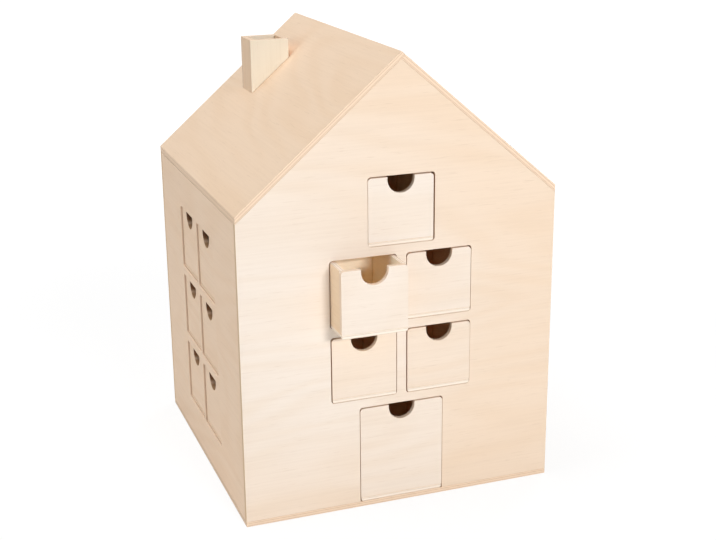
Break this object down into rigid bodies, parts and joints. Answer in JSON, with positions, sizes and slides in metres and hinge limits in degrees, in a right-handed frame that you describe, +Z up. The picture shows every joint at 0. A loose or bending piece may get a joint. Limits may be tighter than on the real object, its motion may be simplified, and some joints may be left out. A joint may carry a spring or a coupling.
{
  "type": "wooden advent calendar",
  "caption": "House-shaped plywood advent calendar with a pitched roof and chimney; square drawers with finger notches slide out of all its walls.",
  "frame": {"origin": "middle of the house's underside", "axes": "+Z up to the ridge, -Y out of the front gable, +X to the right as seen from the front"},
  "size_m": [0.25, 0.274, 0.3491],
  "materials": {
    "wall": "bare sanded plywood",
    "roof": "bare sanded plywood",
    "base_edge": "bare sawn plywood",
    "chimney": "bare sanded plywood",
    "inner_board": "bare plywood",
    "drawer_face": "bare sanded plywood",
    "drawer_tray": "bare plywood"
  },
  "bodies": {
    "house": {"base_board": "base_edge", "front_wall": "wall", "back_wall": "wall", "left_wall": "wall", "right_wall": "wall", "left_roof_panel": "roof", "right_roof_panel": "roof", "chimney": "chimney", "partition_grid": "inner_board", "gable_bay_shelves": "inner_board", "side_bay_shelves": "inner_board", "attic_drawer_rack": "inner_board"},
    "front_top_drawer": {"front_top_drawer_face": "drawer_face", "front_top_drawer_tray": "drawer_tray"},
    "front_upper_left_drawer": {"front_upper_left_drawer_face": "drawer_face", "front_upper_left_drawer_tray": "drawer_tray"},
    "front_upper_right_drawer": {"front_upper_right_drawer_face": "drawer_face", "front_upper_right_drawer_tray": "drawer_tray"},
    "front_lower_left_drawer": {"front_lower_left_drawer_face": "drawer_face", "front_lower_left_drawer_tray": "drawer_tray"},
    "front_lower_right_drawer": {"front_lower_right_drawer_face": "drawer_face", "front_lower_right_drawer_tray": "drawer_tray"},
    "front_door_drawer": {"front_door_drawer_face": "drawer_face", "front_door_drawer_tray": "drawer_tray"},
    "back_top_drawer": {"back_top_drawer_face": "drawer_face", "back_top_drawer_tray": "drawer_tray"},
    "back_upper_left_drawer": {"back_upper_left_drawer_face": "drawer_face", "back_upper_left_drawer_tray": "drawer_tray"},
    "back_upper_right_drawer": {"back_upper_right_drawer_face": "drawer_face", "back_upper_right_drawer_tray": "drawer_tray"},
    "back_lower_left_drawer": {"back_lower_left_drawer_face": "drawer_face", "back_lower_left_drawer_tray": "drawer_tray"},
    "back_lower_right_drawer": {"back_lower_right_drawer_face": "drawer_face", "back_lower_right_drawer_tray": "drawer_tray"},
    "back_door_drawer": {"back_door_drawer_face": "drawer_face", "back_door_drawer_tray": "drawer_tray"},
    "left_lower_left_drawer": {"left_lower_left_drawer_face": "drawer_face", "left_lower_left_drawer_tray": "drawer_tray"},
    "left_lower_right_drawer": {"left_lower_right_drawer_face": "drawer_face", "left_lower_right_drawer_tray": "drawer_tray"},
    "left_middle_left_drawer": {"left_middle_left_drawer_face": "drawer_face", "left_middle_left_drawer_tray": "drawer_tray"},
    "left_middle_right_drawer": {"left_middle_right_drawer_face": "drawer_face", "left_middle_right_drawer_tray": "drawer_tray"},
    "left_upper_left_drawer": {"left_upper_left_drawer_face": "drawer_face", "left_upper_left_drawer_tray": "drawer_tray"},
    "left_upper_right_drawer": {"left_upper_right_drawer_face": "drawer_face", "left_upper_right_drawer_tray": "drawer_tray"},
    "right_lower_left_drawer": {"right_lower_left_drawer_face": "drawer_face", "right_lower_left_drawer_tray": "drawer_tray"},
    "right_lower_right_drawer": {"right_lower_right_drawer_face": "drawer_face", "right_lower_right_drawer_tray": "drawer_tray"},
    "right_middle_left_drawer": {"right_middle_left_drawer_face": "drawer_face", "right_middle_left_drawer_tray": "drawer_tray"},
    "right_middle_right_drawer": {"right_middle_right_drawer_face": "drawer_face", "right_middle_right_drawer_tray": "drawer_tray"},
    "right_upper_left_drawer": {"right_upper_left_drawer_face": "drawer_face", "right_upper_left_drawer_tray": "drawer_tray"},
    "right_upper_right_drawer": {"right_upper_right_drawer_face": "drawer_face", "right_upper_right_drawer_tray": "drawer_tray"}
  },
  "joints": [
    {"name": "front_top_drawer_slide", "type": "slide", "parent": "house", "child": "front_top_drawer", "axis": [0, -1, 0], "range_m": [0, 0.05425]},
    {"name": "front_upper_left_drawer_slide", "type": "slide", "parent": "house", "child": "front_upper_left_drawer", "axis": [0, -1, 0], "range_m": [-0.024, 0.03025]},
    {"name": "front_upper_right_drawer_slide", "type": "slide", "parent": "house", "child": "front_upper_right_drawer", "axis": [0, -1, 0], "range_m": [0, 0.05425]},
    {"name": "front_lower_left_drawer_slide", "type": "slide", "parent": "house", "child": "front_lower_left_drawer", "axis": [0, -1, 0], "range_m": [0, 0.05425]},
    {"name": "front_lower_right_drawer_slide", "type": "slide", "parent": "house", "child": "front_lower_right_drawer", "axis": [0, -1, 0], "range_m": [0, 0.05425]},
    {"name": "front_door_drawer_slide", "type": "slide", "parent": "house", "child": "front_door_drawer", "axis": [0, -1, 0], "range_m": [0, 0.05425]},
    {"name": "back_top_drawer_slide", "type": "slide", "parent": "house", "child": "back_top_drawer", "axis": [0, 1, 0], "range_m": [0, 0.05425]},
    {"name": "back_upper_left_drawer_slide", "type": "slide", "parent": "house", "child": "back_upper_left_drawer", "axis": [0, 1, 0], "range_m": [0, 0.05425]},
    {"name": "back_upper_right_drawer_slide", "type": "slide", "parent": "house", "child": "back_upper_right_drawer", "axis": [0, 1, 0], "range_m": [0, 0.05425]},
    {"name": "back_lower_left_drawer_slide", "type": "slide", "parent": "house", "child": "back_lower_left_drawer", "axis": [0, 1, 0], "range_m": [0, 0.05425]},
    {"name": "back_lower_right_drawer_slide", "type": "slide", "parent": "house", "child": "back_lower_right_drawer", "axis": [0, 1, 0], "range_m": [0, 0.05425]},
    {"name": "back_door_drawer_slide", "type": "slide", "parent": "house", "child": "back_door_drawer", "axis": [0, 1, 0], "range_m": [0, 0.05425]},
    {"name": "left_lower_left_drawer_slide", "type": "slide", "parent": "house", "child": "left_lower_left_drawer", "axis": [-1, 0, 0], "range_m": [0, 0.05225]},
    {"name": "left_lower_right_drawer_slide", "type": "slide", "parent": "house", "child": "left_lower_right_drawer", "axis": [-1, 0, 0], "range_m": [0, 0.05225]},
    {"name": "left_middle_left_drawer_slide", "type": "slide", "parent": "house", "child": "left_middle_left_drawer", "axis": [-1, 0, 0], "range_m": [0, 0.05225]},
    {"name": "left_middle_right_drawer_slide", "type": "slide", "parent": "house", "child": "left_middle_right_drawer", "axis": [-1, 0, 0], "range_m": [0, 0.05225]},
    {"name": "left_upper_left_drawer_slide", "type": "slide", "parent": "house", "child": "left_upper_left_drawer", "axis": [-1, 0, 0], "range_m": [0, 0.05225]},
    {"name": "left_upper_right_drawer_slide", "type": "slide", "parent": "house", "child": "left_upper_right_drawer", "axis": [-1, 0, 0], "range_m": [0, 0.05225]},
    {"name": "right_lower_left_drawer_slide", "type": "slide", "parent": "house", "child": "right_lower_left_drawer", "axis": [1, 0, 0], "range_m": [0, 0.05225]},
    {"name": "right_lower_right_drawer_slide", "type": "slide", "parent": "house", "child": "right_lower_right_drawer", "axis": [1, 0, 0], "range_m": [0, 0.05225]},
    {"name": "right_middle_left_drawer_slide", "type": "slide", "parent": "house", "child": "right_middle_left_drawer", "axis": [1, 0, 0], "range_m": [0, 0.05225]},
    {"name": "right_middle_right_drawer_slide", "type": "slide", "parent": "house", "child": "right_middle_right_drawer", "axis": [1, 0, 0], "range_m": [0, 0.05225]},
    {"name": "right_upper_left_drawer_slide", "type": "slide", "parent": "house", "child": "right_upper_left_drawer", "axis": [1, 0, 0], "range_m": [0, 0.05225]},
    {"name": "right_upper_right_drawer_slide", "type": "slide", "parent": "house", "child": "right_upper_right_drawer", "axis": [1, 0, 0], "range_m": [0, 0.05225]}
  ]
}
